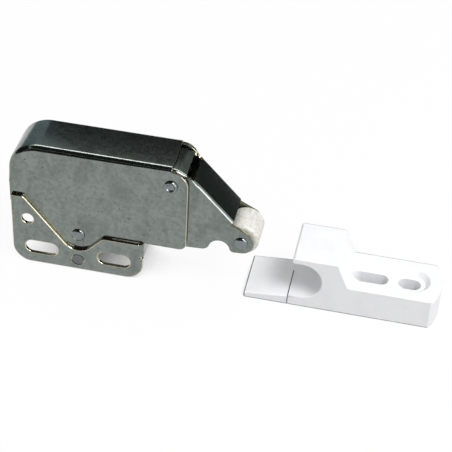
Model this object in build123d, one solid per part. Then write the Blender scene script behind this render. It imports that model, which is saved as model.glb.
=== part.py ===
from build123d import *
import os
from math import asin, atan2, cos, degrees, radians, sin, sqrt

# Touch latch: a spring lever with a nylon roller in a folded steel case, and its moulded strike.
# Both stand on one floor, the latch on the lower edges of its flanges. Lengths are in millimetres.
# Every piece is drawn in the side view: X along the latch towards roller and strike, Y upwards,
# Z from the cabinet side out to the near side. It is then stood up, so that +Z is up and +Y
# points at the cabinet. Origin: midway between the two mounting slots, on the cabinet side.

# Sheet metal
sheet = 1.0                # thickness of case, bracket and lever
case_bend = 1.6            # outer radius of the folds of the case
tab_bend = 1.4             # outer radius of the folds of the bracket
lever_bend = 1.3           # outer radius of the folds of the lever

# Case
case_width = 14.0
case_top = 32.5            # height of the top wall over the slots
plate_nose = 4.5           # radius of the plates' front corner, round the lever's pivot
rear_corner = 8.5          # radius of the curl at the rear
curl_end = 20.2            # height where the rear wall stops
plate_inset = 0.3          # how far the side plates lie in from the curled rear wall
plate_bottom = 6.6         # lower edge of the plates at the front, level with the flanges' top
plate_lap = 1.3            # how far the plates reach down behind the flanges
plate_lug_radius = 3.2     # lug of each plate round the spacer rivet
front_corner = 2.0

# Mounting bracket
slot_pitch = 20.0
slot_length = 9.0
slot_width = 4.1
flange_half = 18.0         # half of the flange's length
rear_overhang = 0.7        # how far the case reaches past the flanges at the rear
flange_drop = 5.25         # how far the flange reaches below the slots
flange_corner = 5.0
flange_step = 16.6         # upper edge of the flange at the rear
step_length = 3.4          # to where that edge turns down to the dip
dip_radius = 4.6           # dip in the upper edge, round the cam rivet's head
dip_heel = 6.9             # where the dip has risen to the front part of the edge
step_fillet = 1.4
tab_bottom = 2.1           # lower edge of the end wall between the flanges
tab_return = 3.0           # how far its fold laps onto each flange
hole_x = -13.6             # third fixing hole
hole_y = 9.4
hole_radius = 1.6

# Rivets
rivet_radius = 1.2
head_radius = 1.85
head_height = 0.7
dish_radius = 1.1          # rolled centre of the pivot rivet
dish_depth = 0.35
cam_rivet_x = 0.0
cam_rivet_y = 5.9
spacer_x = 0.0
spacer_y = -2.0
spacer_head_radius = 1.6
spacer_sink_radius = 1.8
spacer_head_height = 0.5
sleeve_radius = 2.4
cam_sleeve_radius = 2.1

# Lever, with lengths from its pivot
pivot_x = 24.8
pivot_y = 27.0
bush_radius = 1.7
lever_gap = 0.3            # between each cheek and the plate beside it
hub_gap = 0.3              # between the lever's hub and the top wall
hub_start = 100.0          # angle where the web starts over the hub
hub_end = 70.0             # angle where it leaves the hub
web_offset = 5.4           # distance of the flat web from the pivot
web_angle = 43.4           # direction in which the flat web faces
web_length = 18.3          # along the web, from the point nearest the pivot to its end
web_notch = 1.2            # step down behind the end of the web
cheek_drop = 20.5
cheek_fillet = 3.5
lug_radius = 3.4
axle_x = 18.8
axle_y = -15.8
relief_x = 13.1
relief_y = -18.9
relief_radius = 2.8
relief_fillet = 2.2
fit = 0.05                 # running fit, on the radius

# Roller
roller_radius = 4.5
roller_gap = 0.3           # between roller and cheek
roller_edge = 0.7
roller_bush_radius = 2.2
bush_proud = 0.1
axle_radius = 1.4
axle_head_radius = 1.8
axle_head_height = 0.7

# Push-push mechanism
link_drop = 11.5           # link pin below the pivot
link_pin_radius = 1.25
link_eye_radius = 2.6
link_nose_radius = 1.8
link_thickness = 1.0
follower_x = 7.0
follower_y = 13.8
follower_radius = 0.8
follower_head_radius = 1.3
follower_head_height = 0.5
cam_thickness = 5.0        # from the far plate to the face of the cam
track_depth = 2.9
track_width = 2.4
follower_gap = 0.3         # between the follower's tip and the floor of its track
link_lift = 0.5            # between link and cam face
lever_travel = 32.0        # swing of the lever in degrees
return_sag = 2.9           # depth of the return track below the chord
notch_length = 3.4
cam_left = -6.6
cam_right = 14.4
cam_bottom = 6.8
cam_top = 19.2
cam_corner = 2.0
cam_boss_radius = 3.4
pad_right = 1.4
pad_bottom = 10.8
pad_top = 16.8
blade_thickness = 0.4
blade_gap = 0.3            # between the blade and the follower's head
blade_width = 4.0
blade_left = -5.6
blade_right = 10.9
blade_rivet_x = -2.8
blade_rivet_radius = 0.8
blade_head_radius = 1.5
blade_head_height = 0.6

# Lever spring
wire = 1.0
coil_clearance = 0.15
coil_count = 5             # whole turns, besides the part turn between the legs
coil_length = 7.2
spring_leg_past = 2.5      # how far the moving leg reaches past the link pin
spring_leg_back = 11.9

# Strike, with lengths from the tip of its tongue and heights from its base
strike_x = 45.5            # where the strike stands beside the latch
strike_width = 15.4
strike_length = 49.3       # to the corners of the rounded end
end_radius = 15.1
tongue_thickness = 1.75    # at the tip
tongue_root = 2.8          # at the score line
score_at = 11.75
score_width = 0.25
score_depth = 0.25
nose_at = 12.25
nose_length = 11.95
nose_height = 16.0
nose_lip = 1.75            # thickness of the nose over the scoop
nose_corner = 0.8
slope_run = 3.05
base_height = 9.0
scoop_floor = 3.25         # lowest point of the scoop's circle over the base
scoop_reach = 2.6          # from the tip of the nose to the centre of the scoop
recess_margin = 0.25       # from the foot of the slope
recess_rim = 1.1           # left at the corners of the rounded end
recess_width = 8.6
recess_depth = 1.7
recess_draft = 1.1         # how much smaller the floor of the recess is, all round
strike_slot_width = 4.1
long_slot_at = 5.2         # centres of the slots, from the start of the recess
long_slot_length = 9.2
short_slot_at = 15.4
short_slot_length = 6.0

# Worked out from the driving dimensions
bracket_low = 0                                # outer face of the flange on the cabinet
case_low = bracket_low + sheet                 # outer faces of the two side plates
case_high = case_low + case_width
inner_low = case_low + sheet                   # and their inner faces
inner_high = case_high - sheet
bracket_high = case_high + sheet               # outer face of the near flange
case_rear = -flange_half - rear_overhang
plate_rear = case_rear + plate_inset
case_front = pivot_x + plate_nose
hub_radius = case_top - sheet - hub_gap - pivot_y
cheek_low = inner_low + lever_gap              # outer faces of the lever's cheeks
cheek_high = inner_high - lever_gap
roller_low = cheek_low + sheet + roller_gap
roller_high = cheek_high - sheet - roller_gap
middle = (inner_low + inner_high) / 2
cam_low = inner_low
cam_face = cam_low + cam_thickness
link_low = cam_face + link_lift
link_high = link_low + link_thickness
head_top = link_high + follower_head_height
blade_low = head_top + blade_gap
blade_high = blade_low + blade_thickness
pivot = Vector(pivot_x, pivot_y)
axle = pivot + Vector(axle_x, axle_y)
link_pin_at = pivot - Vector(0, link_drop)
follower = Vector(follower_x, follower_y)
cam_rivet_at = Vector(cam_rivet_x, cam_rivet_y)
spacer_at = Vector(spacer_x, spacer_y)
scoop_radius = (nose_height - nose_lip - scoop_floor) / 2
strike_z = middle - strike_width / 2           # the strike stands in line with the roller
tolerance = sheet / 1000                       # for finding edges by their place


def slab(outline, low, high):
    """A flat outline made solid between two heights."""
    return Pos(0, 0, low) * extrude(outline, amount=high - low, dir=(0, 0, 1))


def rod(centre, radius, low, high):
    """A round bar along Z."""
    return slab(Pos(centre.X, centre.Y) * Circle(radius), low, high)


def rectangle(left, bottom, right, top):
    """A rectangle between two corners."""
    return Pos(left, bottom) * Rectangle(right - left, top - bottom, align=(Align.MIN, Align.MIN))


def round_corner(outline, point, radius):
    """The outline with its corner nearest to a point rounded."""
    corner = outline.vertices().sort_by_distance(Vector(*point))[0]
    return fillet(corner, radius)


def polar(radius, angle):
    return Vector(radius * cos(radians(angle)), radius * sin(radians(angle)))


def tangent_point(point, centre, radius, side):
    """Where a line from a point touches a circle, on the side given by the sign."""
    to_centre = centre - point
    reach = sqrt(to_centre.length ** 2 - radius ** 2)
    turn = degrees(asin(radius / to_centre.length))
    return point + polar(reach, degrees(atan2(to_centre.Y, to_centre.X)) + side * turn)


def domed_head(centre, base, radius, height, upwards=True):
    """A low domed rivet head: a disc under a spherical cap."""
    crown = height * 0.65
    ball = (radius ** 2 + crown ** 2) / (2 * crown)
    disc = Cylinder(radius, height, align=(Align.CENTER, Align.CENTER, Align.MIN))
    head = disc & Pos(0, 0, height - ball) * Sphere(ball)
    turn = 0 if upwards else 180
    return Pos(centre.X, centre.Y, base) * Rot(turn, 0, 0) * head


# Case and bracket

def side_outline():
    """Outline that both side plates and the top wall share, seen across the width."""
    lobe_radius = dip_radius + plate_lap
    step = Vector(step_length - flange_half, flange_step - 2 * plate_lap)
    lower = tangent_point(step, cam_rivet_at, lobe_radius, -1)
    heel = Vector(dip_heel + 2 * plate_lap, plate_bottom)
    rising = tangent_point(heel, cam_rivet_at, lobe_radius, 1)
    body = make_face(Polyline(
        (plate_rear, curl_end), (plate_rear, step.Y), step, lower, cam_rivet_at, rising, heel,
        (case_front, plate_bottom), (case_front, pivot_y), (pivot_x, pivot_y),
        (pivot_x, case_top), (case_rear, case_top), (case_rear, curl_end), (plate_rear, curl_end),
    ))
    corner = rectangle(pivot_x, pivot_y, case_front, pivot_y + plate_nose)
    corner &= Pos(pivot_x, pivot_y) * Circle(plate_nose)
    lug = rectangle(spacer_x - plate_lug_radius, spacer_y, spacer_x + plate_lug_radius, cam_rivet_y)
    lug += Pos(spacer_x, spacer_y) * Circle(plate_lug_radius)
    outline = body + Pos(cam_rivet_x, cam_rivet_y) * Circle(lobe_radius) + corner + lug
    for point, radius in (
        ((case_rear, case_top), rear_corner),
        ((case_front, plate_bottom), front_corner),
    ):
        outline = round_corner(outline, point, radius)
    return outline


def on_fold(edge, low, high):
    """Whether an edge lies on the fold between a side plate and the top or rear wall."""
    at = edge.center()
    flat = abs(at.Z - low) < tolerance or abs(at.Z - high) < tolerance
    top = at.Y > case_top - sheet - tolerance and at.X < pivot_x - tolerance
    rear = at.X < case_rear + sheet + tolerance and at.Y > curl_end + tolerance
    curl = at.X < case_rear + rear_corner and at.Y > case_top - rear_corner
    return flat and (top or rear or curl)


def case_shell():
    """One folded sheet: near plate, top wall with its rear curl, and far plate."""
    outer = slab(side_outline(), case_low, case_high)
    outer = fillet([e for e in outer.edges() if on_fold(e, case_low, case_high)], case_bend)
    clear = case_width
    cavity = make_face(Polyline(
        (pivot_x, case_top - sheet), (case_rear + sheet, case_top - sheet),
        (case_rear + sheet, curl_end), (case_rear - clear, curl_end),
        (case_rear - clear, -clear), (case_front + clear, -clear),
        (case_front + clear, case_top + clear), (pivot_x, case_top + clear),
        (pivot_x, case_top - sheet),
    ))
    cavity = round_corner(cavity, (case_rear + sheet, case_top - sheet), rear_corner - sheet)
    hollow = slab(cavity, inner_low, inner_high)
    hollow = fillet([e for e in hollow.edges() if on_fold(e, inner_low, inner_high)], case_bend - sheet)
    for centre in (pivot, cam_rivet_at, spacer_at):
        outer -= rod(centre, rivet_radius, case_low, case_high)
    return outer - hollow


def flange_outline():
    """One flange of the bracket: a dip round the cam rivet, two slots and the third fixing hole."""
    step = Vector(step_length - flange_half, flange_step)
    heel = Vector(dip_heel, plate_bottom)
    outline = make_face(Polyline(
        (-flange_half, flange_step), step, tangent_point(step, cam_rivet_at, dip_radius, -1),
        tangent_point(heel, cam_rivet_at, dip_radius, 1), heel, (flange_half, plate_bottom),
        (flange_half, -flange_drop), (-flange_half, -flange_drop), (-flange_half, flange_step),
    ))
    outline -= Pos(cam_rivet_x, cam_rivet_y) * Circle(dip_radius)
    for corner in (step, heel):
        outline = round_corner(outline, corner, step_fillet)
    for side in (-1, 1):
        outline = round_corner(outline, (side * flange_half, -flange_drop), flange_corner)
    for side in (-1, 1):
        outline -= Pos(side * slot_pitch / 2, 0) * SlotOverall(slot_length, slot_width)
    return outline - Pos(hole_x, hole_y) * Circle(hole_radius)


def mounting_bracket():
    """Two flanges outside the case, joined by an end wall that is folded across under it."""
    flanges = slab(flange_outline(), bracket_low, case_low)
    flanges += slab(flange_outline(), case_high, bracket_high)
    left = flange_half - tab_return
    flanges -= slab(rectangle(left, tab_bottom, flange_half, plate_bottom), bracket_low, bracket_high)
    section = rectangle(left, -bracket_high, flange_half, -bracket_low)
    opening = rectangle(left - sheet, sheet - bracket_high, flange_half - sheet, -bracket_low - sheet)
    for height in (-bracket_high, -bracket_low):
        section = round_corner(section, (flange_half, height), tab_bend)
    for height in (sheet - bracket_high, -bracket_low - sheet):
        opening = round_corner(opening, (flange_half - sheet, height), tab_bend - sheet)
    fold = extrude(Plane((0, tab_bottom, 0), x_dir=(1, 0, 0), z_dir=(0, 1, 0)) * (section - opening),
                   amount=plate_bottom - tab_bottom)
    bracket = flanges + fold - rod(spacer_at, rivet_radius, bracket_low, bracket_high)
    bracket -= rod(spacer_at, spacer_sink_radius, bracket_high - spacer_head_height, bracket_high)
    bracket -= rod(spacer_at, spacer_sink_radius, bracket_low, bracket_low + spacer_head_height)
    return bracket


# Rivets and sleeves

def headed_rivet(centre):
    """A rivet through the case, with a low domed head on both plates."""
    rivet = rod(centre, rivet_radius, case_low, case_high)
    rivet += domed_head(centre, case_high, head_radius, head_height)
    return rivet + domed_head(centre, case_low, head_radius, head_height, upwards=False)


def pivot_rivet():
    """Tubular rivet that the lever turns on, with a rolled head on the near side."""
    dish = Cone(dish_radius * 0.6, dish_radius, dish_depth * 2)
    return headed_rivet(pivot) - Pos(pivot_x, pivot_y, case_high + head_height) * dish


def spacer_rivet():
    """Rivet between the two slots, through flanges and plates, flush with both flanges."""
    rivet = rod(spacer_at, rivet_radius, bracket_low, bracket_high)
    rivet += rod(spacer_at, spacer_head_radius, bracket_high - spacer_head_height, bracket_high)
    return rivet + rod(spacer_at, spacer_head_radius, bracket_low, bracket_low + spacer_head_height)


def sleeve(centre, radius, low, high):
    """A tube on a rivet."""
    return rod(centre, radius, low, high) - rod(centre, rivet_radius, low, high)


# Lever and roller

def blend_radius():
    """Radius that carries the web smoothly from the hub onto its flat."""
    turn = cos(radians(hub_end - web_angle))
    return (web_offset - hub_radius * turn) / (1 - turn)


def web_line(inset):
    """Upper line of the lever from over the hub to the end of the web, moved inwards by an inset."""
    blend = blend_radius()
    centre = pivot + polar(hub_radius - blend, hub_end)
    hub = hub_radius - inset
    bow = blend - inset
    start = pivot + polar(hub, hub_start)
    leave = pivot + polar(hub, hub_end)
    flat = centre + polar(bow, web_angle)
    end = pivot + polar(web_offset - inset, web_angle) + polar(web_length, web_angle - 90)
    return start, end, [
        ThreePointArc(start, pivot + polar(hub, (hub_start + hub_end) / 2), leave),
        ThreePointArc(leave, centre + polar(bow, (hub_end + web_angle) / 2), flat),
        Line(flat, end),
    ]


def cheek_outline():
    """Outline of the lever seen across the width."""
    start, end, top = web_line(0)
    notch = end + polar(web_notch, web_angle + 180)
    lug_top = tangent_point(notch, axle, lug_radius, 1)
    left = pivot_x - hub_radius
    bottom = pivot_y - cheek_drop
    heel = Vector(left, bottom)
    lug_bottom = tangent_point(heel, axle, lug_radius, -1)
    hub_left = Vector(left, pivot_y)
    body = make_face(top + [
        Line(end, notch), Line(notch, lug_top), Line(lug_top, axle), Line(axle, lug_bottom),
        Line(lug_bottom, heel), Line(heel, hub_left),
        ThreePointArc(hub_left, pivot + polar(hub_radius, (180 + hub_start) / 2), start),
    ])
    body += Pos(axle.X, axle.Y) * Circle(lug_radius)
    body -= Pos(pivot_x + relief_x, pivot_y + relief_y) * Circle(relief_radius)
    body = round_corner(body, heel, cheek_fillet)
    for side in (-1, 1):
        corner = (pivot_x + relief_x + side * relief_radius, pivot_y + relief_y - relief_radius / 4)
        body = round_corner(body, corner, relief_fillet if side < 0 else relief_fillet / 2)
    return body


def on_web(edge, low, high):
    """Whether an edge runs along the fold between web and cheek."""
    at = edge.center()
    ends = [v.center() for v in edge.vertices()]
    local = [p - pivot for p in ends]
    flat = abs(at.Z - low) < tolerance or abs(at.Z - high) < tolerance
    facing = polar(1, web_angle)
    along = polar(1, web_angle - 90)
    upper = all(p.X * facing.X + p.Y * facing.Y > hub_radius * 0.5 for p in local)
    before_end = all(p.X * along.X + p.Y * along.Y < web_length + tolerance for p in local)
    right_of_start = all(p.X > polar(hub_radius, hub_start).X - tolerance for p in local)
    return flat and upper and before_end and right_of_start


def lever():
    """U-shaped steel lever: a web on top and a cheek on each side."""
    solid = slab(cheek_outline(), cheek_low, cheek_high)
    folds = [e for e in solid.edges() if on_web(e, cheek_low, cheek_high)]
    solid = fillet(folds, lever_bend)
    start, end, top = web_line(sheet)
    clear = case_width * 2
    past_end = end + polar(web_notch + clear, web_angle)
    hollow = make_face(top + [
        Line(end, past_end),
        Line(past_end, (pivot_x + clear * 2, past_end.Y)),
        Line((pivot_x + clear * 2, past_end.Y), (pivot_x + clear * 2, pivot_y - clear)),
        Line((pivot_x + clear * 2, pivot_y - clear), (pivot_x - clear, pivot_y - clear)),
        Line((pivot_x - clear, pivot_y - clear), (pivot_x - clear, pivot_y + clear)),
        Line((pivot_x - clear, pivot_y + clear), (start.X, pivot_y + clear)),
        Line((start.X, pivot_y + clear), start),
    ])
    solid -= slab(hollow, cheek_low + sheet, cheek_high - sheet)
    solid -= rod(pivot, bush_radius + fit, cheek_low, cheek_high)
    solid -= rod(link_pin_at, link_pin_radius, cheek_low, cheek_high)
    return solid - rod(axle, axle_radius, cheek_low, cheek_high)


def roller():
    """Nylon roller, bored for its bush."""
    body = fillet(rod(axle, roller_radius, roller_low, roller_high).edges(), roller_edge)
    return body - rod(axle, roller_bush_radius, roller_low, roller_high)


def roller_bush():
    """Steel bush pressed into the roller."""
    low = roller_low - bush_proud
    high = roller_high + bush_proud
    return rod(axle, roller_bush_radius, low, high) - rod(axle, axle_radius + fit, low, high)


def roller_axle():
    """Rivet through both cheeks, domed at both ends."""
    pin = rod(axle, axle_radius, cheek_low, cheek_high)
    pin += domed_head(axle, cheek_high, axle_head_radius, axle_head_height)
    return pin + domed_head(axle, cheek_low, axle_head_radius, axle_head_height, upwards=False)


# Push-push mechanism

def track_point(angle):
    """Where the follower stands when the lever has swung through an angle."""
    swing = radians(angle)
    return follower + Vector(link_drop * sin(swing), link_drop * (1 - cos(swing)))


def heart_track():
    """Heart-shaped track: the follower's way out, its way back, and the notch that holds it."""
    first = track_point(0)
    last = track_point(lever_travel)
    out = ThreePointArc(first, track_point(lever_travel / 2), last)
    low = (first + last) * 0.5 - Vector(0, return_sag)
    back = ThreePointArc(first, low, last)
    notch = Line(last, last - Vector(notch_length, track_width / 2))
    return [SlotArc(path.edge(), track_width) for path in (out, back, notch)]


def cam_block():
    """Nylon block with the heart-shaped track, a boss round the cam rivet and a pad for the blade."""
    base = rectangle(cam_left, cam_bottom, cam_right, cam_top)
    base = fillet(base.vertices(), cam_corner)
    block = slab(base, cam_low, cam_face)
    block += slab(rectangle(cam_left + cam_corner, pad_bottom, pad_right, pad_top), cam_low, blade_low)
    block += rod(cam_rivet_at, cam_boss_radius, cam_low, inner_high)
    for path in heart_track():
        block -= slab(path, cam_face - track_depth, cam_face)
    block -= rod(cam_rivet_at, cam_sleeve_radius, cam_low, inner_high)
    return block - rod(Vector(blade_rivet_x, follower_y), blade_rivet_radius, cam_low, blade_low)


def leaf_spring():
    """Flat blade that keeps the follower in its track."""
    blade = rectangle(blade_left, follower_y - blade_width / 2, blade_right, follower_y + blade_width / 2)
    blade = fillet(blade.vertices().group_by(Axis.X)[-1], blade_width / 3)
    strip = slab(blade, blade_low, blade_high)
    return strip - rod(Vector(blade_rivet_x, follower_y), blade_rivet_radius, blade_low, blade_high)


def leaf_rivet():
    """Small rivet that fixes the blade to the cam block."""
    at = Vector(blade_rivet_x, follower_y)
    shank = rod(at, blade_rivet_radius, cam_low, blade_high)
    return shank + domed_head(at, blade_high, blade_head_radius, blade_head_height)


def link():
    """Flat steel link from the lever's link pin to the follower."""
    ends = Pos(link_pin_at.X, link_pin_at.Y) * Circle(link_eye_radius)
    ends += Pos(follower_x, follower_y) * Circle(link_nose_radius)
    plate = slab(make_hull(ends.edges()), link_low, link_high)
    plate -= rod(link_pin_at, link_pin_radius + fit, link_low, link_high)
    return plate - rod(follower, follower_radius, link_low, link_high)


def link_pin():
    """Pin across the lever's cheeks, riveted flush."""
    return rod(link_pin_at, link_pin_radius, cheek_low, cheek_high)


def follower_pin():
    """Headed pin riveted into the link, whose tip runs in the track."""
    tip = cam_face - track_depth + follower_gap
    return rod(follower, follower_radius, tip, link_high) + rod(
        follower, follower_head_radius, link_high, head_top)


def spring_leg(first, last):
    """A straight stretch of the spring's wire."""
    way = last - first
    bar = Cylinder(wire / 2, way.length, align=(Align.CENTER, Align.CENTER, Align.MIN))
    return Plane(origin=first, z_dir=way) * bar


def lever_spring():
    """Torsion spring round the pivot bush, one leg against the link pin and one on the cam block."""
    coil_radius = bush_radius + coil_clearance + wire / 2
    low = Vector(0, 0, middle - coil_length / 2)
    high = Vector(0, 0, middle + coil_length / 2)
    back_end = Vector(spring_leg_back, cam_top + wire / 2)
    back_start = tangent_point(back_end, pivot, coil_radius, -1)
    first = back_start - pivot
    start_angle = degrees(atan2(first.Y, first.X))
    lean = degrees(asin((coil_radius + link_pin_radius + wire / 2 + fit) / link_drop))
    turns = coil_count + (180 + lean - start_angle) / 360
    helix = Helix(coil_length / turns, coil_length, coil_radius)
    ring = Plane(origin=helix @ 0, z_dir=helix % 0) * Circle(wire / 2)
    coil = sweep(ring, path=helix, is_frenet=True)
    coil = Pos(pivot_x, pivot_y, low.Z) * Rot(0, 0, start_angle) * coil
    leave = pivot + polar(coil_radius, 180 + lean)
    reach = (link_drop + spring_leg_past) / cos(radians(lean))
    down_end = leave + polar(reach, lean - 90)
    return coil + spring_leg(back_start + low, back_end + low) + spring_leg(leave + high, down_end + high)


# Strike

def strike_profile():
    """Side outline of the strike, drawn past its rounded end."""
    root = Vector(score_at, tongue_root)
    scoop = Vector(nose_at + scoop_reach, nose_height - nose_lip - scoop_radius)
    floor = tangent_point(root, scoop, scoop_radius, -1)
    nose_end = nose_at + nose_length
    slope_foot = nose_end + slope_run
    past = strike_length + end_radius
    outline = make_face([
        Line((0, 0), (past, 0)),
        Line((past, 0), (past, base_height)),
        Line((past, base_height), (slope_foot, base_height)),
        Line((slope_foot, base_height), (nose_end, nose_height)),
        Line((nose_end, nose_height), (nose_at, nose_height)),
        Line((nose_at, nose_height), (nose_at, nose_height - nose_lip)),
        Line((nose_at, nose_height - nose_lip), (scoop.X, nose_height - nose_lip)),
        ThreePointArc((scoop.X, nose_height - nose_lip), scoop + Vector(scoop_radius, 0), floor),
        Line(floor, root),
        Line(root, (0, tongue_thickness)),
        Line((0, tongue_thickness), (0, 0)),
    ])
    outline = round_corner(outline, (nose_at, nose_height), nose_corner)
    return round_corner(outline, (nose_end, nose_height), nose_corner)


def strike():
    """Moulded nylon strike: a thin tongue, the scoop that catches the roller, and a slotted base."""
    body = slab(strike_profile(), 0, strike_width)
    bulge = end_radius - sqrt(end_radius ** 2 - strike_width ** 2 / 4)
    plan = make_face([
        Line((0, 0), (strike_length, 0)),
        ThreePointArc((strike_length, 0), (strike_length + bulge, strike_width / 2),
                      (strike_length, strike_width)),
        Line((strike_length, strike_width), (0, strike_width)),
        Line((0, strike_width), (0, 0)),
    ])
    body &= extrude(seen_from_above(nose_height) * plan, amount=nose_height)
    return Pos(strike_x, -flange_drop, strike_z) * (body - recess() - score_lines())


def seen_from_above(height):
    """Plane at a height over the strike's base, with its second axis across the width."""
    return Plane((0, height, 0), x_dir=(1, 0, 0), z_dir=(0, -1, 0))


def recess():
    """Countersunk oval recess in the base, with a long and a short screw slot through its floor."""
    start = nose_at + nose_length + slope_run + recess_margin
    length = strike_length - recess_rim - start
    middle_at = Pos(start + length / 2, strike_width / 2)
    mouth = seen_from_above(base_height) * middle_at * SlotOverall(length, recess_width)
    bed = seen_from_above(base_height - recess_depth) * middle_at * SlotOverall(
        length - 2 * recess_draft, recess_width - 2 * recess_draft)
    cut = loft([mouth, bed])
    for at, size in ((long_slot_at, long_slot_length), (short_slot_at, short_slot_length)):
        slot = seen_from_above(base_height) * Pos(start + at, strike_width / 2) * SlotOverall(
            size, strike_slot_width)
        cut += extrude(slot, amount=base_height)
    return cut


def score_lines():
    """Fine line across the tongue and down both its sides."""
    height = tongue_root + score_depth
    line = Box(score_width, height, strike_width + score_depth)
    core = Pos(0, -score_depth, 0) * Box(score_width, height, strike_width - 2 * score_depth)
    return Pos(score_at, height / 2, strike_width / 2) * (line - core)


pieces = {
    "case_shell": case_shell(),
    "mounting_bracket": mounting_bracket(),
    "pivot_rivet": pivot_rivet(),
    "pivot_bush": sleeve(pivot, bush_radius, inner_low, inner_high),
    "cam_rivet": headed_rivet(cam_rivet_at),
    "cam_sleeve": sleeve(cam_rivet_at, cam_sleeve_radius, inner_low, inner_high),
    "spacer_rivet": spacer_rivet(),
    "spacer_sleeve": sleeve(spacer_at, sleeve_radius, inner_low, inner_high),
    "cam_block": cam_block(),
    "leaf_spring": leaf_spring(),
    "leaf_rivet": leaf_rivet(),
    "lever_spring": lever_spring(),
    "lever": lever(),
    "roller": roller(),
    "roller_bush": roller_bush(),
    "roller_axle": roller_axle(),
    "link": link(),
    "link_pin": link_pin(),
    "follower_pin": follower_pin(),
    "strike": strike(),
}

os.makedirs("parts", exist_ok=True)
for name, shape in pieces.items():
    export_step(Rot(90, 0, 0) * shape, f"parts/{name}.step")
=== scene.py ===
"""Looks, light and camera for a touch latch and its strike."""

from math import atan2, cos, degrees, hypot, pi, radians, sin, tan

import bmesh
import bpy
from mathutils import Matrix, Vector


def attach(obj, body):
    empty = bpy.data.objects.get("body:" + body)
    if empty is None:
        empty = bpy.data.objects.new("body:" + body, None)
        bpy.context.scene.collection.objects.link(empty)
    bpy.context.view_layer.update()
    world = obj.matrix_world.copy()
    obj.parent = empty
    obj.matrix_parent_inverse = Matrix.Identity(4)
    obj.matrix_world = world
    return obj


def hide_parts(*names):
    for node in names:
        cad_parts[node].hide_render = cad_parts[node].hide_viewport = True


bl_info = {
    "name": "Touch Latch",
    "version": (1, 0, 0),
    "blender": (4, 5, 0),
    "location": "View3D > Sidebar > Touch Latch",
    "description": "Models a touch latch with its roller lever and its strike, and a studio for them",
    "category": "Object",
}

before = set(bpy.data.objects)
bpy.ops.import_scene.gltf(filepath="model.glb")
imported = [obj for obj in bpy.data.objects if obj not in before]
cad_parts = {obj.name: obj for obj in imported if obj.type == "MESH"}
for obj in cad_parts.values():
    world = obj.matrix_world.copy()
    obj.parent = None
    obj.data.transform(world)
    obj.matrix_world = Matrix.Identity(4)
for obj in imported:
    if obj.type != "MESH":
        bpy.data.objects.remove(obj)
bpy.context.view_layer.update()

MM = 0.001

# Places in the side view as (x, z) in millimetres.
PIVOT = (24.8, 27.0)
AXLE = (43.6, 11.2)
CAM_RIVET = (0.0, 5.9)
SPACER = (0.0, -2.0)
FIXING_HOLE = (-13.6, 9.4)

# Sizes in millimetres that several pieces share, and levels.
RIVET_RADIUS = 1.2
SINK_RADIUS = 1.8
STRIKE_LEFT = 45.5
STRIKE_MIDDLE = -8.0
SCORE_PLACE = STRIKE_LEFT + 11.75
# Width of the band along the strike's far, lower and left edges that takes the painted shade.
PAINTED_SHADE_ZONE = 0.5
FLOOR = -5.25


def arc(centre, radius, first, last, steps):
    """Outline points along an arc, in degrees, from first to last."""
    turns = [radians(first + (last - first) * i / steps) for i in range(steps + 1)]
    return tuple((centre[0] + radius * cos(t), centre[1] + radius * sin(t), 0) for t in turns)


# Side outlines as (x, z, corner radius) in millimetres, going round the sheet.
CASE_OUTLINE = (
    (-18.4, 20.2, 0), (-18.4, 14.0, 0), (-14.6, 14.0, 0), *arc(CAM_RIVET, 5.9, -139.7, -122.9, 3),
    *arc(SPACER, 3.2, -180, 0, 12), *arc(CAM_RIVET, 5.9, -57.1, -47.5, 2), (9.5, 6.6, 0),
    (29.3, 6.6, 2.0), (29.3, 31.5, 4.49), (24.8, 31.5, 0), (24.8, 32.5, 0), (-18.7, 32.5, 8.5),
    (-18.7, 20.2, 0),
)
FLANGE_OUTLINE = (
    (-18.0, 16.6, 0), (-18.0, -5.25, 5.0), (18.0, -5.25, 5.0), (18.0, 2.05, 0), (16.5, 2.05, 0),
    (16.5, 2.1, 0), (18.0, 2.1, 0), (18.0, 6.6, 0), (6.9, 6.6, 1.4),
    *arc(CAM_RIVET, 4.6, -42.6, -140.9, 14), (-14.6, 16.6, 1.4),
)
# The lever is measured from its pivot, the strike from the tip of its tongue on the floor.
LEVER_OUTLINE = (
    *arc((0, 0), 4.2, 100, 70, 3), *arc((-3.878, -10.654), 15.537, 66, 43.4, 5),
    (16.497, -9.586, 0), (15.64, -10.397, 0), (20.321, -12.759, 0),
    *arc((18.8, -15.8), 3.4, 55, -82, 12), (17.0, -19.307, 0),
    *arc((16.938, -18.208), 1.1, -100, -170, 3), *arc((13.1, -18.9), 2.8, 18, 160, 9),
    *arc((8.273, -17.594), 2.2, -25, -84, 4), (-0.503, -20.292, 0),
    *arc((-0.7, -16.797), 3.5, -100, -180, 5), (-4.2, 0, 0), *arc((0, 0), 3.0, 180, 100, 6),
)
STRIKE_OUTLINE = (
    (0, 0, 0), (66, 0, 0), (66, 9.0, 0), (27.25, 9.0, 0), (24.2, 16.0, 0.8), (12.25, 16.0, 0.8),
    (12.25, 14.25, 0), (14.85, 14.25, 0), *arc((14.85, 8.75), 5.5, 84, -82.6, 22), (11.75, 2.8, 0),
    (0, 1.75, 0),
)


def linear(code):
    """An sRGB hex colour as linear RGBA."""
    values = [int(code[i:i + 2], 16) / 255 for i in (1, 3, 5)]
    return [v / 12.92 if v <= 0.04045 else ((v + 0.055) / 1.055) ** 2.4 for v in values] + [1.0]


def length_prop(name, description, millimetres):
    """A length that a user can change."""
    return bpy.props.FloatProperty(
        name=name, description=description, default=millimetres * MM, min=0.0,
        subtype="DISTANCE", unit="LENGTH", precision=5)


def colour_prop(name, description, code):
    """A colour that a user can change."""
    return bpy.props.FloatVectorProperty(
        name=name, description=description, default=linear(code), size=4, min=0.0, max=1.0,
        subtype="COLOR")


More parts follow.
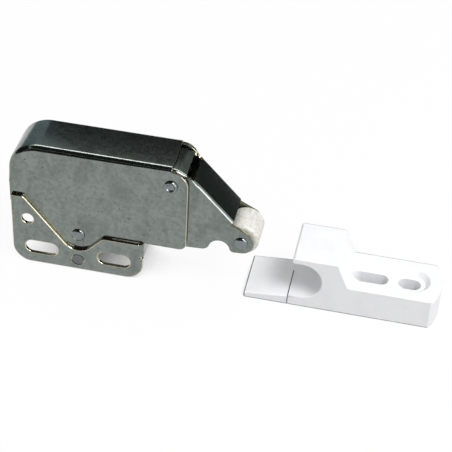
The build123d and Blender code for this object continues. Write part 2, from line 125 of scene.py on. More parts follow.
class LatchSizes(bpy.types.PropertyGroup):
    sheet: length_prop("Sheet", "Thickness of case, bracket and lever", 1.0)
    case_bend: length_prop("Case bend", "Outer radius of the folds of the case", 1.6)
    bracket_bend: length_prop("Bracket bend", "Outer radius of the folds of the bracket", 1.4)
    lever_bend: length_prop("Lever bend", "Outer radius of the folds of the lever", 1.15)
    sheared_edge: length_prop("Sheared edge", "Rounding left on the bracket's edges by stamping", 0.24)
    case_edge: length_prop("Case edge", "Rounding left on the edges of the case", 0.18)
    lever_edge: length_prop("Lever edge", "Rounding left on the edges of the lever", 0.18)
    case_width: length_prop("Case width", "Width over the two side plates", 14.0)
    lever_gap: length_prop("Lever gap", "Gap between each cheek and the plate beside it", 0.3)
    roller_radius: length_prop("Roller radius", "Radius of the nylon roller", 4.5)
    roller_edge: length_prop("Roller edge", "Rounding at the ends of the roller", 0.7)
    slot_pitch: length_prop("Slot pitch", "Distance between the two mounting slots", 20.0)
    slot_length: length_prop("Slot length", "Length of a mounting slot", 9.0)
    slot_width: length_prop("Slot width", "Width of a mounting slot", 4.1)


class StrikeSizes(bpy.types.PropertyGroup):
    width: length_prop("Width", "Width of the strike", 15.4)
    length: length_prop("Length", "Length to the corners of the rounded end", 49.3)
    end_radius: length_prop("End radius", "Radius of the rounded end", 15.1)
    recess_width: length_prop("Recess width", "Width of the oval recess", 8.6)
    recess_depth: length_prop("Recess depth", "Depth of the oval recess", 1.7)
    recess_draft: length_prop("Recess draft", "How much smaller the recess is at its floor", 1.1)
    moulded_edge: length_prop("Moulded edge", "Rounding of the moulded edges", 0.32)


class LatchFinish(bpy.types.PropertyGroup):
    zinc: colour_prop("Zinc", "Colour of the zinc plate", "#868c88")
    zinc_stain: colour_prop("Zinc stain", "Colour of the stains in the zinc plate", "#6c726d")
    sheared: colour_prop("Sheared edge", "Colour of the bright sheared edges", "#cdc6b0")
    rivet: colour_prop("Rivet", "Colour of the rivets", "#83888c")
    spring: colour_prop("Spring", "Colour of the spring steel", "#6c6e70")
    nylon: colour_prop("Nylon", "Colour of the moulded strike", "#f4f5f7")
    nylon_stain: colour_prop("Nylon marks", "Colour of the faint marks on the strike", "#e9eaec")
    # Painted shade: this dark colour darkens the strike's score line and its far, lower and left edges.
    grime: colour_prop("Grime", "Colour of the dirt in the strike's score line and edges", "#5a5f62")
    roller: colour_prop("Roller", "Colour of the roller", "#e3e3de")
    roller_stain: colour_prop("Roller stain", "Colour of the worn parts of the roller", "#b9b3a4")


def only(*pieces):
    """Selects these objects and nothing else; the first is the active one."""
    bpy.ops.object.select_all(action="DESELECT")
    for piece in pieces:
        piece.select_set(True)
    bpy.context.view_layer.objects.active = pieces[0]


def pick(piece, kind, test):
    """In edit mode, selects the verts, edges or faces that pass a test; returns how many."""
    mesh = bmesh.from_edit_mesh(piece.data)
    bpy.context.tool_settings.mesh_select_mode = (kind == "verts", kind == "edges", kind == "faces")
    for element in [*mesh.faces, *mesh.edges, *mesh.verts]:
        element.select = False
    chosen = [e for e in getattr(mesh, kind) if test(e)]
    for element in chosen:
        element.select = True
    mesh.select_flush_mode()
    bmesh.update_edit_mesh(piece.data)
    return len(chosen)


def middle(element):
    """The centre of an edge or face."""
    return sum((v.co for v in element.verts), Vector()) / len(element.verts)


def drawn(name, points, closed=True):
    """A line drawn from point to point in metres; left in edit mode with all of it selected."""
    bpy.ops.object.select_all(action="DESELECT")
    bpy.ops.mesh.primitive_plane_add(size=MM)
    piece = bpy.context.active_object
    piece.name = piece.data.name = name
    bpy.context.tool_settings.mesh_select_mode = (True, False, False)
    bpy.ops.object.mode_set(mode="EDIT")
    bpy.ops.mesh.merge(type="CENTER")
    bpy.ops.transform.translate(value=points[0])
    rest = [*points[1:], points[0]] if closed else points[1:]
    for here, there in zip(points, rest):
        bpy.ops.mesh.extrude_vertices_move(TRANSFORM_OT_translate={"value": there - here})
    bpy.ops.mesh.select_all(action="SELECT")
    bpy.ops.mesh.remove_doubles(threshold=1e-6)
    return piece


def side_face(name, corners, y):
    """A flat face in the side view with rounded corners, at depth y in metres."""
    points = [Vector((x * MM, y, z * MM)) for x, z, _ in corners]
    piece = drawn(name, points)
    bpy.ops.mesh.edge_face_add()
    for i, (_, _, radius) in enumerate(corners):
        if radius:
            back = (points[i - 1] - points[i]).normalized()
            ahead = (points[(i + 1) % len(points)] - points[i]).normalized()
            pick(piece, "verts", lambda v: (v.co - points[i]).length < 1e-6)
            reach = radius * MM / tan(back.angle(ahead) / 2)
            bpy.ops.mesh.bevel(
                offset=reach, segments=max(6, int(radius * 2.2)), affect="VERTICES", clamp_overlap=False)
    bpy.ops.object.mode_set(mode="OBJECT")
    return piece


def extruded(piece, offset):
    """The flat piece made solid by extruding it along an offset."""
    only(piece)
    bpy.ops.object.mode_set(mode="EDIT")
    bpy.ops.mesh.select_all(action="SELECT")
    bpy.ops.mesh.extrude_region_move(TRANSFORM_OT_translate={"value": offset})
    bpy.ops.mesh.select_all(action="SELECT")
    bpy.ops.mesh.normals_make_consistent(inside=False)
    bpy.ops.object.mode_set(mode="OBJECT")
    return piece


def modify(piece, kind, **settings):
    """Adds a modifier with its settings and applies it."""
    only(piece)
    bpy.ops.object.modifier_add(type=kind)
    modifier = piece.modifiers[-1]
    for key, value in settings.items():
        setattr(modifier, key, value)
    bpy.ops.object.modifier_apply(modifier=modifier.name)


def cut(piece, *cutters):
    """Cuts the cutters out of the piece and removes them; the new faces get its last material."""
    last = len(piece.data.materials) - 1
    for cutter in cutters:
        for material in piece.data.materials:
            cutter.data.materials.append(material)
        cutter.data.polygons.foreach_set("material_index", [last] * len(cutter.data.polygons))
        modify(piece, "BOOLEAN", operation="DIFFERENCE", solver="EXACT", object=cutter)
        only(cutter)
        bpy.ops.object.delete()


def eased(piece, width, segments=2, angle=32, clamp=True, spare=lambda point: False):
    """Rounds sharp edges, in the last material, but none in a place that spare names."""
    sharp = radians(angle)
    only(piece)
    bpy.ops.object.shade_smooth()
    bpy.ops.object.mode_set(mode="EDIT")
    if pick(piece, "edges", lambda e: e.calc_face_angle(0) > sharp and spare(middle(e))):
        bpy.ops.mesh.mark_sharp()
    pick(piece, "edges", lambda e: e.calc_face_angle(0) > sharp and not spare(middle(e)))
    bpy.ops.mesh.bevel(offset=width, segments=segments, affect="EDGES", clamp_overlap=clamp,
                       harden_normals=True, miter_outer="ARC", material=len(piece.data.materials) - 1)
    bpy.ops.object.mode_set(mode="OBJECT")


def even_shading(piece):
    """Keeps large faces flat in shade after cuts that stay sharp."""
    only(piece)
    bpy.ops.object.shade_smooth_by_angle(angle=radians(35))
    modify(piece, "WEIGHTED_NORMAL", keep_sharp=True)


def dress(piece, body, nodes):
    """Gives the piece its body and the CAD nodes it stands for."""
    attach(piece, body)
    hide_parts(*nodes)


def folded(name, corners, near, far, bend, sizes, keep):
    """A sheet folded to a U: two plates of one outline, joined where keep says so."""
    piece = extruded(side_face(name, corners, near), (0, far - near, 0))
    piece.data.materials.append(finish("zinc_plated_sheet"))
    piece.data.materials.append(finish("sheared_zinc_edge"))
    bpy.ops.object.mode_set(mode="EDIT")
    pick(piece, "faces", lambda f: abs(f.normal.y) < 0.5 and not keep(middle(f)))
    bpy.ops.mesh.delete(type="FACE")
    pick(piece, "edges", lambda e: len(e.link_faces) == 2 and sum(
        abs(f.normal.y) > 0.5 for f in e.link_faces) == 1)
    bpy.ops.mesh.bevel(offset=bend, segments=8, profile=0.5, affect="EDGES", clamp_overlap=False)
    bpy.ops.object.mode_set(mode="OBJECT")
    modify(piece, "SOLIDIFY", thickness=sizes.sheet, offset=-1, use_even_offset=True,
           use_quality_normals=True, material_offset_rim=1)
    return piece


def turned(name, centre, profile, material, ring=False, steps=48):
    """A turned piece: a profile of (radius, y) in millimetres, spun round its axis along Y."""
    points = [Vector(((centre[0] + radius) * MM, y * MM, centre[1] * MM)) for radius, y in profile]
    piece = drawn(name, points, closed=ring)
    bpy.ops.mesh.spin(
        steps=steps, angle=2 * pi, center=(centre[0] * MM, 0, centre[1] * MM), axis=(0, 1, 0))
    bpy.ops.mesh.select_all(action="SELECT")
    bpy.ops.mesh.remove_doubles(threshold=1e-6)
    bpy.ops.mesh.normals_make_consistent(inside=False)
    bpy.ops.object.mode_set(mode="OBJECT")
    piece.data.materials.append(material)
    only(piece)
    bpy.ops.object.shade_smooth_by_angle(angle=radians(40))
    return piece


def slot_cutter(centre, length, width, low, high, upright=False):
    """A bar with rounded ends that cuts a slot, along Y or upright; all but its centre in metres."""
    half = (high - low) / 2
    first, second, along = centre[0] * MM, centre[1] * MM, low + half
    place = (first, second, along) if upright else (first, along, second)
    bpy.ops.object.select_all(action="DESELECT")
    bpy.ops.mesh.primitive_cylinder_add(vertices=48, radius=width / 2, depth=2 * half, location=place,
                                        rotation=(0 if upright else pi / 2, 0, 0))
    piece = bpy.context.active_object
    bpy.ops.object.transform_apply(location=True, rotation=True, scale=True)
    bpy.ops.object.mode_set(mode="EDIT")
    for side in (-1, 1):
        pick(piece, "verts", lambda v: side * (v.co.x - place[0]) > 1e-7)
        bpy.ops.transform.translate(value=(side * (length - width) / 2, 0, 0))
    bpy.ops.object.mode_set(mode="OBJECT")
    return piece


def hole_cutter(centre, radius, low, high):
    """A round bar along Y that cuts a hole; radius in millimetres."""
    return slot_cutter(centre, 2 * radius * MM, 2 * radius * MM, low, high)


def add_node(tree, kind, settings=None, **links):
    """Adds a node, sets its sockets and properties, and links its inputs to other sockets."""
    node = tree.nodes.new(kind)
    for key, value in (settings or {}).items():
        if key in node.inputs:
            node.inputs[key].default_value = value
        else:
            setattr(node, key, value)
    for key, source in links.items():
        tree.links.new(source, node.inputs[key.replace("_", " ")])
    return node


def new_material(name):
    """An empty material with its shader; returns the material, its tree and the shader."""
    material = bpy.data.materials.new(name)
    material.use_nodes = True
    tree = material.node_tree
    return material, tree, tree.nodes["Principled BSDF"]


def mixed(tree, amount, first, second):
    """A colour that goes from the first to the second by an amount."""
    node = add_node(tree, "ShaderNodeMix", {"data_type": "RGBA"})
    tree.links.new(amount, node.inputs["Factor"])
    for socket, colour in ((node.inputs[6], first), (node.inputs[7], second)):
        if isinstance(colour, bpy.types.NodeSocket):
            tree.links.new(colour, socket)
        else:
            socket.default_value = colour
    return node.outputs[2]


def plated(name, base, stain, roughness, marks):
    """Zinc plate on cold rolled sheet, tumbled: satin, finely mottled, with soft stains and specks."""
    material, tree, shader = new_material(name)
    place = add_node(tree, "ShaderNodeTexCoord").outputs["Object"]
    # The plate's crystals, about 1 mm across: they break up the grey.
    mottle = add_node(
        tree, "ShaderNodeTexNoise", {"Scale": 1 / (1.1 * MM), "Detail": 5.0, "Roughness": 0.7},
        Vector=place).outputs["Fac"]
    clouded = add_node(tree, "ShaderNodeMapRange", {"From Min": 0.42, "From Max": 0.66, "To Max": marks},
                       Value=mottle).outputs["Result"]
    # Rinse stains that ran down, some 4 mm wide and 9 mm long: they keep large faces from looking even.
    hung = add_node(tree, "ShaderNodeMapping", {"Scale": (1 / (4 * MM), 1 / (4 * MM), 1 / (9 * MM))},
                    Vector=place).outputs["Vector"]
    stains = add_node(tree, "ShaderNodeTexNoise", {"Scale": 1.0, "Detail": 3.0, "Distortion": 0.6},
                      Vector=hung).outputs["Fac"]
    run = add_node(tree, "ShaderNodeMapRange", {"From Min": 0.45, "From Max": 0.75, "To Max": 0.8 * marks},
                   Value=stains).outputs["Result"]
    # Pits and dirt of 0.3 mm, few and dark.
    spots = add_node(tree, "ShaderNodeTexNoise", {"Scale": 1 / (0.9 * MM), "Detail": 1.0},
                     Vector=place).outputs["Fac"]
    dirt = add_node(tree, "ShaderNodeMapRange", {"From Min": 0.74, "From Max": 0.78, "To Max": marks},
                    Value=spots).outputs["Result"]
    grey = mixed(tree, clouded, base, stain)
    grey = mixed(tree, run, grey, [c * 0.8 for c in stain[:3]] + [1.0])
    grey = mixed(tree, dirt, grey, linear("#2b2b28"))
    tree.links.new(grey, shader.inputs["Base Color"])
    # Dull and bright patches, which break the reflections a little.
    gloss = add_node(
        tree, "ShaderNodeMapRange",
        {"From Min": 0.3, "From Max": 0.7, "To Min": roughness - 0.03, "To Max": roughness + 0.06},
        Value=mottle)
    tree.links.new(gloss.outputs["Result"], shader.inputs["Roughness"])
    ripple = add_node(tree, "ShaderNodeBump", {"Strength": 0.3 * marks, "Distance": 0.01 * MM},
                      Height=mottle)
    tree.links.new(ripple.outputs["Normal"], shader.inputs["Normal"])
    shader.inputs["Metallic"].default_value = 1.0
    return material


def moulded(name, base, stain, roughness, cloud_size, wear):
    """Injection-moulded nylon: silky, slightly translucent, with cloudy marks and a fine mould grain."""
    material, tree, shader = new_material(name)
    place = add_node(tree, "ShaderNodeTexCoord").outputs["Object"]
    # Cloudy marks from flow and handling.
    cloud = add_node(tree, "ShaderNodeTexNoise", {"Scale": 1 / cloud_size, "Detail": 5.0, "Roughness": 0.6},
                     Vector=place).outputs["Fac"]
    worn = add_node(tree, "ShaderNodeMapRange", {"From Min": 0.45, "From Max": 0.72, "To Max": wear},
                    Value=cloud).outputs["Result"]
    tree.links.new(mixed(tree, worn, base, stain), shader.inputs["Base Color"])
    # Spark-eroded mould grain, 0.4 mm here where the real one is finer than the picture shows.
    grain = add_node(tree, "ShaderNodeTexNoise", {"Scale": 1 / (0.4 * MM), "Detail": 2.0}, Vector=place)
    ripple = add_node(tree, "ShaderNodeBump", {"Strength": 0.3, "Distance": 0.01 * MM},
                      Height=grain.outputs["Fac"])
    tree.links.new(ripple.outputs["Normal"], shader.inputs["Normal"])
    shader.inputs["Roughness"].default_value = roughness
    shader.inputs["IOR"].default_value = 1.53
    shader.inputs["Subsurface Weight"].default_value = 0.12
    shader.inputs["Subsurface Scale"].default_value = 0.6 * MM
    return material


# Maker, base colour, second colour and the maker's own values of each finish.
FINISHES = {
    # Dull grey plate with soft mirror images of the studio.
    "zinc_plated_sheet": (plated, "zinc", "zinc_stain", 0.15, 0.7),
    # Bright, warm line where the shears cut through plate and steel.
    "sheared_zinc_edge": (plated, "sheared", "zinc", 0.12, 0.2),
    # Smoother and bluer than the sheet, since the heads are pressed.
    "headed_rivet_zinc": (plated, "rivet", "zinc_stain", 0.12, 0.4),
    # Darker bare steel with a broad sheen.
    "drawn_spring_steel": (plated, "spring", "zinc_stain", 0.25, 0.5),
    # Bright white with a silky sheen.
    "moulded_white_nylon": (moulded, "nylon", "nylon_stain", 0.42, 6 * MM, 0.5),
    # Painted shade, dark and nearly without sheen, that darkens the score line and the edges.
    "soiled_nylon_groove": (moulded, "grime", "nylon_stain", 0.6, 2 * MM, 0.3),
    # Creamy white, scuffed all round by the strike.
    "worn_roller_nylon": (moulded, "roller", "roller_stain", 0.45, 0.8 * MM, 0.9),
}


def finish(name):
    """The material of that name, made once in the colours of the panel."""
    if name not in bpy.data.materials:
        maker, base, second, *values = FINISHES[name]
        colours = bpy.context.scene.latch_finish
        maker(name, getattr(colours, base)[:], getattr(colours, second)[:], *values)
    return bpy.data.materials[name]


class LATCH_OT_case(bpy.types.Operator):
    """Fold the case from one sheet: two plates, the top wall and the curled rear wall"""
    bl_idname = "latch.case"
    bl_label = "Folded case"

    def execute(self, context):
        sizes = context.scene.latch_sizes
        far = -sizes.sheet
        near = far - sizes.case_width
        piece = folded(
            "case_sheet", CASE_OUTLINE, near, far, sizes.case_bend, sizes,
            lambda p: p.z > 0.0203 and p.x < 0.0248 - 1e-6 and (p.z > 0.0324 or p.x < -0.0101))
        cut(piece, *(hole_cutter(centre, RIVET_RADIUS, near - MM, far + MM)
                     for centre in (PIVOT, CAM_RIVET, SPACER)))
        # The top wall's front and the foot of the rear wall keep the shears' sharp edge.
        eased(piece, sizes.case_edge, clamp=False, spare=lambda p: p.z > 0.0305 or p.x < -0.0165)
        dress(piece, "case", ["case_shell"])
        return {"FINISHED"}


class LATCH_OT_bracket(bpy.types.Operator):
    """Fold the mounting bracket from one sheet: two slotted flanges and the end wall between them"""
    bl_idname = "latch.bracket"
    bl_label = "Mounting bracket"

    def execute(self, context):
        sizes = context.scene.latch_sizes
        near = -sizes.case_width - 2 * sizes.sheet
        low, high = near - MM, MM
        piece = folded("bracket_sheet", FLANGE_OUTLINE, near, 0, sizes.bracket_bend, sizes,
                       lambda p: p.x > 0.0179 and 0.0021 < p.z < 0.0066)
        half = sizes.slot_pitch / 2 / MM
        cut(piece,
            slot_cutter((-half, 0), sizes.slot_length, sizes.slot_width, low, high),
            slot_cutter((half, 0), sizes.slot_length, sizes.slot_width, low, high),
            hole_cutter(FIXING_HOLE, 1.6, low, high),
            hole_cutter(SPACER, RIVET_RADIUS, low, high),
            hole_cutter(SPACER, SINK_RADIUS, low, near + sizes.sheet / 2),
            hole_cutter(SPACER, SINK_RADIUS, -sizes.sheet / 2, high))
        # Sharp stay the relief cut beside the fold, the end wall and the rivet's sinks.
        eased(piece, sizes.sheared_edge, clamp=False, spare=lambda p: (
            p.x > 0.0164 and 0.0019 < p.z < 0.0066 or hypot(p.x, p.z - SPACER[1] * MM) < 0.0019))
        dress(piece, "case", ["mounting_bracket"])
        return {"FINISHED"}


class LATCH_OT_lever(bpy.types.Operator):
    """Fold the lever from one sheet: a web over the hub and a cheek with a lug on each side"""
    bl_idname = "latch.lever"
    bl_label = "Roller lever"

    def execute(self, context):
        sizes = context.scene.latch_sizes
        far = -2 * sizes.sheet - sizes.lever_gap
        near = -sizes.case_width + sizes.lever_gap
        outline = [(x + PIVOT[0], z + PIVOT[1], radius) for x, z, radius in LEVER_OUTLINE]
        lean = radians(43.4)
        along = Vector((sin(lean), 0, -cos(lean)))
        facing = Vector((cos(lean), 0, sin(lean)))
        pivot = Vector((PIVOT[0] * MM, 0, PIVOT[1] * MM))

        def on_web(p):
            local = Vector((p.x, 0, p.z)) - pivot
            return (local.dot(facing) > 0.0024 and local.dot(along) < 0.0183 and local.z > 0.0031
                    or local.dot(facing) > 0.0052 and local.dot(along) < 0.0182)

        piece = folded("lever_sheet", outline, near, far, sizes.lever_bend, sizes, on_web)
        pin = (PIVOT[0], PIVOT[1] - 11.5)
        cut(piece, *(hole_cutter(centre, radius, near - MM, far + MM)
                     for centre, radius in ((PIVOT, 1.75), (pin, 1.25), (AXLE, 1.4))))
        eased(piece, sizes.lever_edge)
        dress(piece, "lever", ["lever"])
        return {"FINISHED"}


class LATCH_OT_rivets(bpy.types.Operator):
    """Turn the rivets: a rolled tubular head, two domed ones and a flush one"""
    bl_idname = "latch.rivets"
    bl_label = "Rivets and axle"

    def execute(self, context):
        far_head = ((0, -0.3), (0.7, -0.32), (1.25, -0.42), (1.65, -0.58), (1.82, -0.75), (1.85, -0.9),
                    (1.85, -1.0), (1.2, -1.0), (1.2, -15.0), (1.85, -15.0), (1.85, -15.1))
        rolled = (*far_head, (1.83, -15.3), (1.76, -15.48), (1.62, -15.62), (1.42, -15.7), (1.24, -15.67),
                  (1.1, -15.56), (1.0, -15.4), (0.8, -15.3), (0.4, -15.24), (0, -15.22))
        domed = (*far_head, (1.82, -15.25), (1.65, -15.42), (1.25, -15.58), (0.7, -15.68), (0, -15.7))
        flush = ((0, 0), (1.5, 0), (1.57, -0.03), (1.6, -0.1), (1.6, -0.5), (1.2, -0.5), (1.2, -15.5),
                 (1.6, -15.5), (1.6, -15.9), (1.57, -15.97), (1.5, -16.0), (1.25, -16.0), (0.9, -15.86),
                 (0.4, -15.7), (0, -15.68))
        ends = ((0, -1.6), (0.7, -1.63), (1.25, -1.75), (1.6, -1.92), (1.77, -2.08), (1.8, -2.2), (1.8, -2.3),
                (1.4, -2.3), (1.4, -13.7), (1.8, -13.7), (1.8, -13.8), (1.77, -13.92), (1.6, -14.08),
                (1.25, -14.25), (0.7, -14.37), (0, -14.4))
        for name, centre, profile, metal, body, node in (
            ("rolled_pivot_rivet", PIVOT, rolled, "headed_rivet_zinc", "case", "pivot_rivet"),
            ("domed_cam_rivet", CAM_RIVET, domed, "headed_rivet_zinc", "case", "cam_rivet"),
            ("flush_spacer_rivet", SPACER, flush, "drawn_spring_steel", "case", "spacer_rivet"),
            ("domed_axle", AXLE, ends, "headed_rivet_zinc", "lever", "roller_axle"),
        ):
            dress(turned(name, centre, profile, finish(metal)), body, [node])
        return {"FINISHED"}


class LATCH_OT_roller(bpy.types.Operator):
    """Turn the nylon roller with rounded ends, and its steel bush"""
    bl_idname = "latch.roller"
    bl_label = "Roller and bush"

    def execute(self, context):
        sizes = context.scene.latch_sizes
        edge = sizes.roller_edge / MM
        rim = sizes.roller_radius / MM - edge
        far, near = -3.6, -12.4
        bore = 2.2
        turns = [radians(a) for a in range(0, 91, 15)]
        profile = [
            (bore, far), *((rim + edge * sin(t), far - edge + edge * cos(t)) for t in turns),
            *((rim + edge * cos(t), near + edge - edge * sin(t)) for t in turns), (bore, near)]
        roller = turned("nylon_roller", AXLE, profile, finish("worn_roller_nylon"), ring=True, steps=72)
        dress(roller, "roller", ["roller"])
        inner, proud = 1.45, 0.1
        tube = ((inner, far + proud), (bore - proud, far + proud), (bore, far), (bore, near),
                (bore - proud, near - proud), (inner, near - proud))
        sleeve = turned("roller_sleeve", AXLE, tube, finish("headed_rivet_zinc"), ring=True)
        dress(sleeve, "roller", ["roller_bush"])
        return {"FINISHED"}


class LATCH_OT_strike(bpy.types.Operator):
    """Mould the strike: tongue, scoop, nose and a slotted base with an oval recess"""
    bl_idname = "latch.strike"
    bl_label = "Strike"

    def execute(self, context):
        sizes = context.scene.latch_strike
        near = STRIKE_MIDDLE * MM - sizes.width / 2
        outline = [(x + STRIKE_LEFT, z + FLOOR, r) for x, z, r in STRIKE_OUTLINE]
        piece = side_face("moulded_strike", outline, near - MM)
        extruded(piece, (0, sizes.width + 2 * MM, 0))
        plan = self.plan(sizes, near)
        modify(piece, "BOOLEAN", operation="INTERSECT", solver="EXACT", object=plan)
        only(plan)
        bpy.ops.object.delete()
        piece.data.materials.append(finish("moulded_white_nylon"))
        cut(piece, self.oval_recess(sizes, (FLOOR + 9.0) * MM))
        eased(piece, sizes.moulded_edge, segments=4, angle=28)
        cut(piece, *(slot_cutter((STRIKE_LEFT + x, STRIKE_MIDDLE), length * MM, 4.1 * MM, -10 * MM, 10 * MM,
                                 upright=True) for x, length in ((32.7, 9.2), (42.9, 6.0))))
        piece.data.materials.append(finish("soiled_nylon_groove"))
        # Painted shade darkens the far edges, the lower ones and the tip of the tongue.
        far = near + sizes.width
        only(piece)
        bpy.ops.object.mode_set(mode="EDIT")
        pick(piece, "faces", lambda f: (
            0.02 < f.normal.y < 0.98 and middle(f).y > far - PAINTED_SHADE_ZONE * MM
            or -0.95 < f.normal.x < -0.15 and middle(f).x < (STRIKE_LEFT + PAINTED_SHADE_ZONE) * MM
            or -0.95 < f.normal.z < -0.15 and middle(f).z < (FLOOR + PAINTED_SHADE_ZONE) * MM))
        piece.active_material_index = len(piece.data.materials) - 1
        bpy.ops.object.material_slot_assign()
        bpy.ops.object.mode_set(mode="OBJECT")
        # The score line's walls take the last material too, a painted shade that darkens the groove.
        cut(piece, *self.score(near, sizes.width))
        even_shading(piece)
        dress(piece, "case", ["strike"])
        return {"FINISHED"}

    def plan(self, sizes, near):
        """The strike's outline seen from above, with its rounded end, as a tall block."""
        length, radius, half = sizes.length / MM, sizes.end_radius / MM, sizes.width / 2 / MM
        reach = (radius ** 2 - half ** 2) ** 0.5
        middle_y = near / MM + half
        turn = degrees(atan2(half, reach))
        end = arc((STRIKE_LEFT + length - reach, middle_y), radius, -turn, turn, 24)
        corners = ((STRIKE_LEFT, middle_y - half, 0), *end, (STRIKE_LEFT, middle_y + half, 0))
        piece = drawn("strike_plan", [Vector((x, y, FLOOR - 1)) * MM for x, y, _ in corners])
        bpy.ops.mesh.edge_face_add()
        bpy.ops.object.mode_set(mode="OBJECT")
        return extruded(piece, (0, 0, 20 * MM))

    def oval_recess(self, sizes, top):
        """The oval recess with its sloping wall, narrowed towards its floor."""
        piece = slot_cutter((STRIKE_LEFT + 37.85, STRIKE_MIDDLE), 20.7 * MM, sizes.recess_width, top,
                            top + MM, upright=True)
        bpy.ops.object.mode_set(mode="EDIT")
        pick(piece, "faces", lambda f: f.normal.z < -0.9)
        bpy.ops.mesh.inset(thickness=sizes.recess_draft)
        bpy.ops.transform.translate(value=(0, 0, -sizes.recess_depth))
        bpy.ops.object.mode_set(mode="OBJECT")
        return piece

    def score(self, near, width):
        """Thin bars that cut the fine line over the tongue and down its near side."""
        for y, z, size in (
            (near + width * 0.34, FLOOR + 2.8, (0.28, width / MM * 0.7, 0.5)),
            (near, FLOOR + 1.4, (0.28, 0.4, 2.8)),
        ):
            bpy.ops.object.select_all(action="DESELECT")
            bpy.ops.mesh.primitive_cube_add(size=MM, location=(SCORE_PLACE * MM, y, z * MM), scale=size)
            bpy.ops.object.transform_apply(location=True, rotation=True, scale=True)
            yield bpy.context.active_object


class LATCH_OT_mechanism(bpy.types.Operator):
    """Give the mechanism inside the case its finishes"""
    bl_idname = "latch.mechanism"
    bl_label = "Mechanism finishes"

    def execute(self, context):
        small_parts = ("pivot_bush", "cam_sleeve", "spacer_sleeve", "link_pin", "follower_pin", "leaf_rivet")
        for names, material in (
            (small_parts, "headed_rivet_zinc"),
            (("link",), "zinc_plated_sheet"),
            (("leaf_spring", "lever_spring"), "drawn_spring_steel"),
            (("cam_block",), "moulded_white_nylon"),
        ):
            for name in names:
                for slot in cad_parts[name].material_slots:
                    slot.material = finish(material)
        return {"FINISHED"}


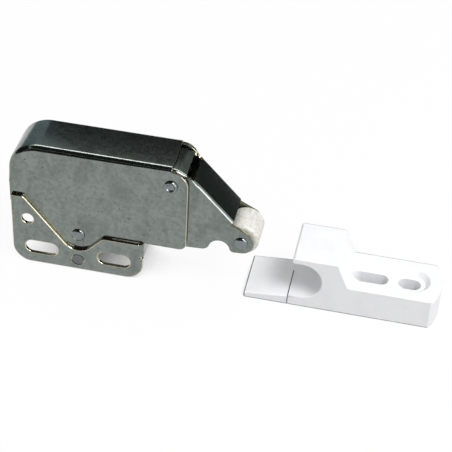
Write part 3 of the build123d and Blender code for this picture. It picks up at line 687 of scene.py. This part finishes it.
class LATCH_OT_stage(bpy.types.Operator):
    """Set up the floor, the lights and the camera"""
    bl_idname = "latch.stage"
    bl_label = "Studio"

    def execute(self, context):
        self.floor()
        self.world()
        self.lights()
        self.cards()
        self.camera()
        context.scene.view_settings.view_transform = "Standard"
        return {"FINISHED"}

    def floor(self):
        bpy.ops.object.select_all(action="DESELECT")
        bpy.ops.mesh.primitive_plane_add(size=3, location=(0, 0, FLOOR * MM))
        floor = bpy.context.active_object
        floor.name = "studio_floor"
        bpy.ops.object.transform_apply(location=True)
        material, tree, shader = new_material("white_paper")
        shader.inputs["Base Color"].default_value = linear("#b4b4b4")
        shader.inputs["Roughness"].default_value = 0.9
        # Most of the white is the paper's own for the camera and for mirrors, except where the pieces close
        # it in:
        # there an occlusion mask paints shade under and between them; the rest takes the lamps' shadow.
        near_by = add_node(tree, "ShaderNodeAmbientOcclusion", {"Distance": 30 * MM, "samples": 16})
        shade = add_node(tree, "ShaderNodeMapRange", {"From Min": 0.08, "From Max": 0.5, "To Max": 0.9},
                         Value=near_by.outputs["AO"])
        own = add_node(tree, "ShaderNodeMath", {"operation": "MULTIPLY"})
        tree.links.new(self.seen(tree), own.inputs[0])
        tree.links.new(shade.outputs["Result"], own.inputs[1])
        white = add_node(tree, "ShaderNodeEmission", {"Strength": 1.05})
        mix = add_node(tree, "ShaderNodeMixShader", Fac=own.outputs[0])
        tree.links.new(shader.outputs[0], mix.inputs[1])
        tree.links.new(white.outputs[0], mix.inputs[2])
        tree.links.new(mix.outputs[0], tree.nodes["Material Output"].inputs["Surface"])
        floor.data.materials.append(material)

    def seen(self, tree):
        """1 for camera, glossy and transmission rays, else 0."""
        path = add_node(tree, "ShaderNodeLightPath")
        direct = add_node(tree, "ShaderNodeMath", {"operation": "MAXIMUM"})
        tree.links.new(path.outputs["Is Camera Ray"], direct.inputs[0])
        tree.links.new(path.outputs["Is Glossy Ray"], direct.inputs[1])
        every = add_node(tree, "ShaderNodeMath", {"operation": "MAXIMUM"})
        tree.links.new(direct.outputs[0], every.inputs[0])
        tree.links.new(path.outputs["Is Transmission Ray"], every.inputs[1])
        return every.outputs[0]

    def world(self):
        world = bpy.data.worlds.new("pale_studio")
        bpy.context.scene.world = world
        world.use_nodes = True
        tree = world.node_tree
        strength = add_node(tree, "ShaderNodeMapRange", {"To Min": 0.6, "To Max": 1.0},
                            Value=self.seen(tree))
        background = tree.nodes["Background"]
        background.inputs["Color"].default_value = linear("#ffffff")
        tree.links.new(strength.outputs["Result"], background.inputs["Strength"])

    def lights(self):
        """The key light, and two lights that only the metal mirrors."""
        for name, spot, size, power, lit in (
            ("key_softbox", (0.52, -0.32, 0.83), (0.45, 0.45), 7.2, True),
            ("rear_strip", (0.0, 0.75, 1.19), (1.6, 0.17), 6.0, False),
            ("side_card", (0.85, -0.52, 0.3), (0.5, 0.55), 3.6, False),
        ):
            light = bpy.data.lights.new(name, "AREA")
            light.shape = "RECTANGLE"
            light.size, light.size_y = size
            light.energy = power
            lamp = bpy.data.objects.new(name, light)
            bpy.context.scene.collection.objects.link(lamp)
            aim = (Vector((0.03, 0.0, 0.0)) - Vector(spot)).to_track_quat("-Z", "Y")
            lamp.matrix_world = Matrix.Translation(spot) @ aim.to_matrix().to_4x4()
            lamp.visible_diffuse = lit

    def cards(self):
        """Black and grey cards round the set, which shape the metal's reflections."""
        for name, colour, centre, size, turn in (
            ("rear_card", "#2a3331", (0.5, 0.9, 0.49), (1.7, 0.96), (pi / 2, 0, 0)),
            ("rear_left_card", "#a6bcc0", (-0.75, 0.9, 0.49), (0.8, 0.96), (pi / 2, 0, 0)),
            ("hub_card", "#8f948c", (0.75, 0.88, 0.68), (0.9, 0.56), (pi / 2, 0, 0)),
            ("left_card", "#262c2b", (-1.15, -0.1, 0.62), (2.0, 1.2), (pi / 2, 0, pi / 2)),
            ("front_card", "#262c2b", (-0.4, -1.1, 0.62), (1.4, 1.2), (pi / 2, 0, 0)),
            ("lid", "#262c2b", (-0.4, -0.25, 1.3), (1.4, 1.7), (0, 0, 0)),
        ):
            bpy.ops.object.select_all(action="DESELECT")
            bpy.ops.mesh.primitive_plane_add(size=1, location=centre, rotation=turn)
            card = bpy.context.active_object
            card.name = name
            card.scale = (size[0], size[1], 1)
            bpy.ops.object.transform_apply(location=True, rotation=True, scale=True)
            material, tree, shader = new_material(name + "_paper")
            shader.inputs["Base Color"].default_value = linear(colour)
            shader.inputs["Roughness"].default_value = 0.9
            card.data.materials.append(material)
            card.visible_camera = False
            card.visible_shadow = False
            card.visible_diffuse = name.startswith("rear")

    def camera(self):
        data = bpy.data.cameras.new("camera")
        data.lens = 114.5
        data.sensor_width = 36
        data.clip_start = 0.01
        camera = bpy.data.objects.new("camera", data)
        bpy.context.scene.collection.objects.link(camera)
        ahead = Vector((-0.12557, 0.76225, -0.63498)).normalized()
        up = Vector((-0.16300, 0.61550, 0.77110))
        right = ahead.cross(up).normalized()
        up = right.cross(ahead)
        camera.matrix_world = Matrix.Translation((0.086116, -0.29727, 0.252429)) @ Matrix(
            (right, up, -ahead)).transposed().to_4x4()
        bpy.context.scene.camera = camera


class LATCH_PT_panel(bpy.types.Panel):
    """Lists the steps that build the latch"""
    bl_label = "Touch Latch"
    bl_idname = "LATCH_PT_panel"
    bl_space_type = "VIEW_3D"
    bl_region_type = "UI"
    bl_category = "Touch Latch"

    def draw(self, context):
        layout = self.layout
        for step in STEPS:
            layout.operator(step.bl_idname, text=step.bl_label)
        for name in GROUPS:
            group = getattr(context.scene, name)
            for prop in group.__annotations__:
                layout.prop(group, prop)


STEPS = (
    LATCH_OT_case, LATCH_OT_bracket, LATCH_OT_lever, LATCH_OT_rivets, LATCH_OT_roller, LATCH_OT_strike,
    LATCH_OT_mechanism, LATCH_OT_stage,
)
GROUPS = {"latch_sizes": LatchSizes, "latch_strike": StrikeSizes, "latch_finish": LatchFinish}


def register():
    for cls in (*GROUPS.values(), *STEPS, LATCH_PT_panel):
        bpy.utils.register_class(cls)
    for name, group in GROUPS.items():
        setattr(bpy.types.Scene, name, bpy.props.PointerProperty(type=group))


def unregister():
    for name in GROUPS:
        delattr(bpy.types.Scene, name)
    for cls in reversed((*GROUPS.values(), *STEPS, LATCH_PT_panel)):
        bpy.utils.unregister_class(cls)


def main():
    register()
    bpy.ops.latch.case()
    bpy.ops.latch.bracket()
    bpy.ops.latch.lever()
    bpy.ops.latch.rivets()
    bpy.ops.latch.roller()
    bpy.ops.latch.strike()
    bpy.ops.latch.mechanism()
    bpy.ops.latch.stage()


if __name__ == "__main__":
    main()
